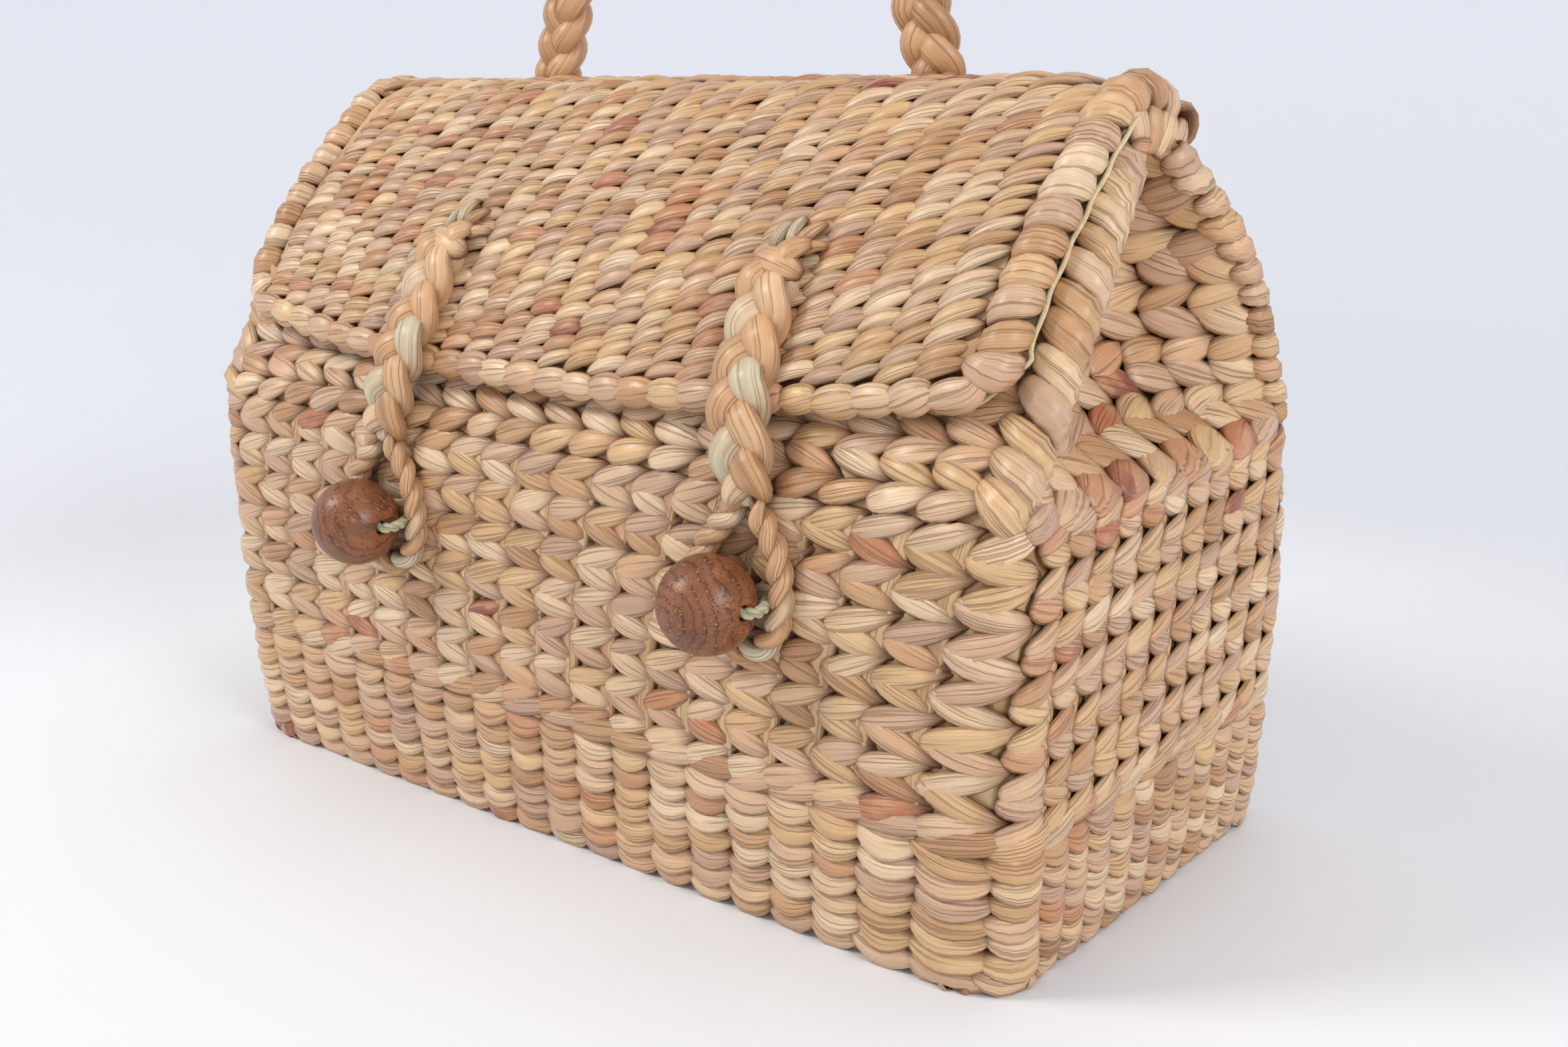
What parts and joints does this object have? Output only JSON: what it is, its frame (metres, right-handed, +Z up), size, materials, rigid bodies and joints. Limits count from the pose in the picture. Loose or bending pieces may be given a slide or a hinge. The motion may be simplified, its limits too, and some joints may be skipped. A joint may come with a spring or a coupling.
{
  "type": "straw basket bag",
  "caption": "Rectangular basket bag of woven straw with a roof-shaped top, a lid over the front, a braided top handle and loop-and-bead closures.",
  "frame": {"origin": "centre of the flat underside of the basket, on the surface it stands on", "axes": "+Z up, -Y towards the front with the closures, +X to the right seen from the front"},
  "size_m": [0.313, 0.1793, 0.3249],
  "materials": {
    "woven_straw": "dried water reed, twisted and twined, satin sheen",
    "straw_braid": "three-strand braid of dried reed",
    "lining_cloth": "plain thin cotton",
    "bead_wood": "turned and waxed hardwood",
    "bead_thread": "pale twisted plant cord"
  },
  "bodies": {
    "root": {"basket_body": "woven_straw", "lid": "woven_straw", "lid_border": "woven_straw", "lid_lining": "lining_cloth", "handle": "straw_braid", "strap_left": "straw_braid", "strap_right": "straw_braid", "bead_left": "bead_wood", "bead_right": "bead_wood", "bead_cord_left": "bead_thread", "bead_cord_right": "bead_thread"}
  },
  "joints": []
}
